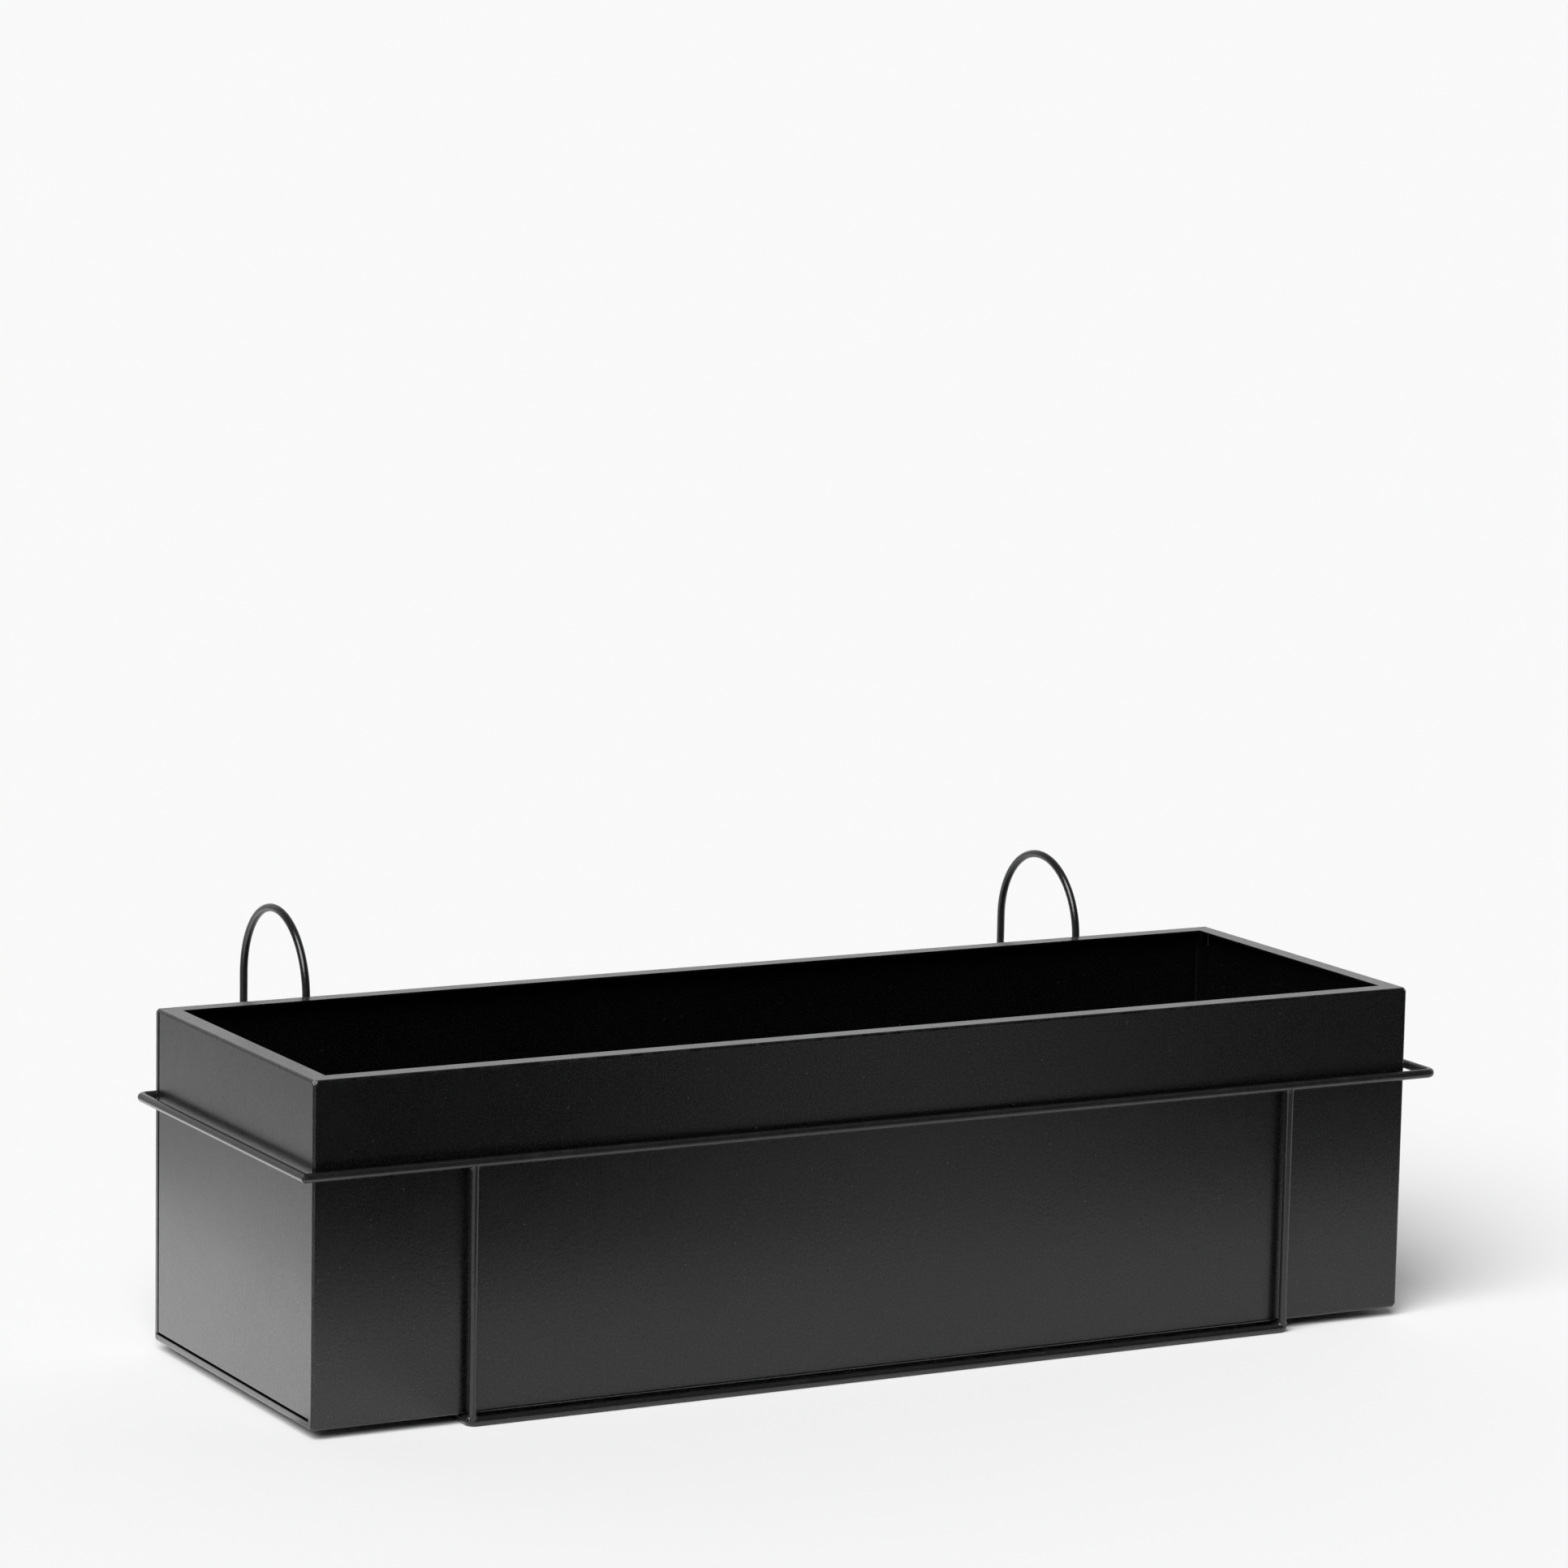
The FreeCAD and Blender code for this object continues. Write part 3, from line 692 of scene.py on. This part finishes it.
lamp = bpy.data.lights.new("soft_lamp", "SUN")
lamp.energy, lamp.angle = SOFT_LAMP_ENERGY, SOFT_LAMP_SPREAD
lamp_object = bpy.data.objects.new("soft_lamp", lamp)
bpy.context.scene.collection.objects.link(lamp_object)
lamp_object.rotation_mode = "QUATERNION"
lamp_object.rotation_quaternion = SOFT_LAMP_FROM.to_track_quat("Z", "Y")

# The low lamps face up: one beside the left end, one at the front left corner.
for name, place, size, energy in (
    ("low_lamp", (-0.3725, 0.155), (0.137, 0.51), 0.19),
    ("corner_lamp", (-0.29, -0.27), (0.12, 0.24), 0.026),
):
    lamp = bpy.data.lights.new(name, "AREA")
    lamp.shape, lamp.energy = "RECTANGLE", energy
    lamp.size, lamp.size_y = size
    lamp_object = bpy.data.objects.new(name, lamp)
    lamp_object.location = (*place, LOW_LAMP_LIFT)
    lamp_object.rotation_euler = (radians(180), 0, 0)
    lamp_object.visible_camera = False
    bpy.context.scene.collection.objects.link(lamp_object)

# Camera: the photograph's own view, from the front left and a little above, with a long lens. It
# leans over by about one degree.
CAMERA_PLACE = Vector((-1.38810, -2.58956, 0.72231))
AZIMUTH, ELEVATION, LEAN = radians(28.370), radians(8.738), radians(1.109)
LENS, SENSOR_WIDTH = 137.09, 36.0
NEAREST, FARTHEST = 0.1, 100.0

forward = Vector((sin(AZIMUTH) * cos(ELEVATION), cos(AZIMUTH) * cos(ELEVATION), -sin(ELEVATION)))
level_right = Vector((cos(AZIMUTH), -sin(AZIMUTH), 0))
level_up = level_right.cross(forward)
right = level_right * cos(LEAN) + level_up * sin(LEAN)
upward = level_up * cos(LEAN) - level_right * sin(LEAN)
camera = bpy.data.objects.new("camera", bpy.data.cameras.new("camera"))
camera.data.lens, camera.data.sensor_width = LENS, SENSOR_WIDTH
camera.data.clip_start, camera.data.clip_end = NEAREST, FARTHEST
camera.matrix_world = Matrix((right, upward, -forward)).transposed().to_4x4()
camera.location = CAMERA_PLACE
bpy.context.scene.collection.objects.link(camera)
bpy.context.scene.camera = camera
bpy.context.scene.view_settings.view_transform = "Standard"
